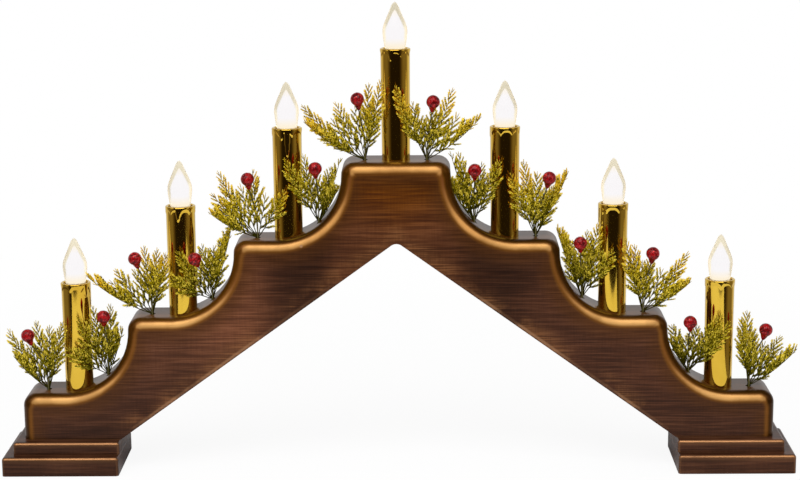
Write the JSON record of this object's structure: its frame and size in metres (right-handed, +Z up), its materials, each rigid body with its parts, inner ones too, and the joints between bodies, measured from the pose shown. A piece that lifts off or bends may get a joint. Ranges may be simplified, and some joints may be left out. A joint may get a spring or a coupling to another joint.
{
  "type": "candle arch",
  "caption": "Stepped wooden candle arch on two-tier feet, with battery flame lamps in gold sleeves and evergreen sprigs with berries.",
  "frame": {"origin": "bottom centre of the part's box, on the surface it stands on", "axes": "+X along the arch, to the viewer's right; +Y away from the viewer; +Z up"},
  "size_m": [0.4508, 0.0542, 0.2651],
  "materials": {
    "lacquered_wood": "dark brown satin lacquer, bronze rubbed on the rounded edges",
    "zinc_steel": "zinc plated",
    "gold_plating": "mirror gold electroplating on moulded plastic",
    "holder_plastic": "black",
    "lamp_plastic": "ivory",
    "flame": "frosted, lit from inside",
    "evergreen": "olive green with gold glitter",
    "berry_red": "dark red glitter",
    "box_plastic": "dark brown",
    "cell_jacket": "plain grey",
    "contact_metal": "nickel plated",
    "wire_jacket": "green"
  },
  "bodies": {
    "arch": {"arch_body": "lacquered_wood", "left_foot_lower": "lacquered_wood", "left_foot_upper": "lacquered_wood", "right_foot_lower": "lacquered_wood", "right_foot_upper": "lacquered_wood", "foot_screws": "zinc_steel", "candle_sleeve_1": "gold_plating", "lamp_holder_1": "holder_plastic", "sprig_1_left": "evergreen", "sprig_1_right": "evergreen", "candle_sleeve_2": "gold_plating", "lamp_holder_2": "holder_plastic", "sprig_2_left": "evergreen", "sprig_2_right": "evergreen", "candle_sleeve_3": "gold_plating", "lamp_holder_3": "holder_plastic", "sprig_3_left": "evergreen", "sprig_3_right": "evergreen", "candle_sleeve_4": "gold_plating", "lamp_holder_4": "holder_plastic", "sprig_4_left": "evergreen", "sprig_4_right": "evergreen", "candle_sleeve_5": "gold_plating", "lamp_holder_5": "holder_plastic", "sprig_5_left": "evergreen", "sprig_5_right": "evergreen", "candle_sleeve_6": "gold_plating", "lamp_holder_6": "holder_plastic", "sprig_6_left": "evergreen", "sprig_6_right": "evergreen", "candle_sleeve_7": "gold_plating", "lamp_holder_7": "holder_plastic", "sprig_7_left": "evergreen", "sprig_7_right": "evergreen", "berries": "berry_red", "battery_box": "box_plastic", "battery_cells": "cell_jacket", "battery_contacts": "contact_metal", "switch_case": "contact_metal", "box_screws": "zinc_steel", "channel_cover_left": "lacquered_wood", "channel_cover_right": "lacquered_wood", "wiring_harness": "wire_jacket"},
    "lamp_1": {"lamp_base_1": "lamp_plastic", "flame_1": "flame"},
    "lamp_2": {"lamp_base_2": "lamp_plastic", "flame_2": "flame"},
    "lamp_3": {"lamp_base_3": "lamp_plastic", "flame_3": "flame"},
    "lamp_4": {"lamp_base_4": "lamp_plastic", "flame_4": "flame"},
    "lamp_5": {"lamp_base_5": "lamp_plastic", "flame_5": "flame"},
    "lamp_6": {"lamp_base_6": "lamp_plastic", "flame_6": "flame"},
    "lamp_7": {"lamp_base_7": "lamp_plastic", "flame_7": "flame"},
    "lid": {"battery_lid": "box_plastic"},
    "knob": {"switch_knob": "holder_plastic"}
  },
  "joints": [
    {"name": "lamp_1_pull", "type": "slide", "parent": "arch", "child": "lamp_1", "axis": [0, 0, 1], "range_m": [0, 0.024]},
    {"name": "lamp_2_pull", "type": "slide", "parent": "arch", "child": "lamp_2", "axis": [0, 0, 1], "range_m": [0, 0.024]},
    {"name": "lamp_3_pull", "type": "slide", "parent": "arch", "child": "lamp_3", "axis": [0, 0, 1], "range_m": [0, 0.024]},
    {"name": "lamp_4_pull", "type": "slide", "parent": "arch", "child": "lamp_4", "axis": [0, 0, 1], "range_m": [0, 0.024]},
    {"name": "lamp_5_pull", "type": "slide", "parent": "arch", "child": "lamp_5", "axis": [0, 0, 1], "range_m": [0, 0.024]},
    {"name": "lamp_6_pull", "type": "slide", "parent": "arch", "child": "lamp_6", "axis": [0, 0, 1], "range_m": [0, 0.024]},
    {"name": "lamp_7_pull", "type": "slide", "parent": "arch", "child": "lamp_7", "axis": [0, 0, 1], "range_m": [0, 0.024]},
    {"name": "lid_slide", "type": "slide", "parent": "arch", "child": "lid", "axis": [1, 0, 0], "range_m": [0, 0.054]},
    {"name": "switch_slide", "type": "slide", "parent": "arch", "child": "knob", "axis": [1, 0, 0], "range_m": [-0.002, 0.002]}
  ]
}
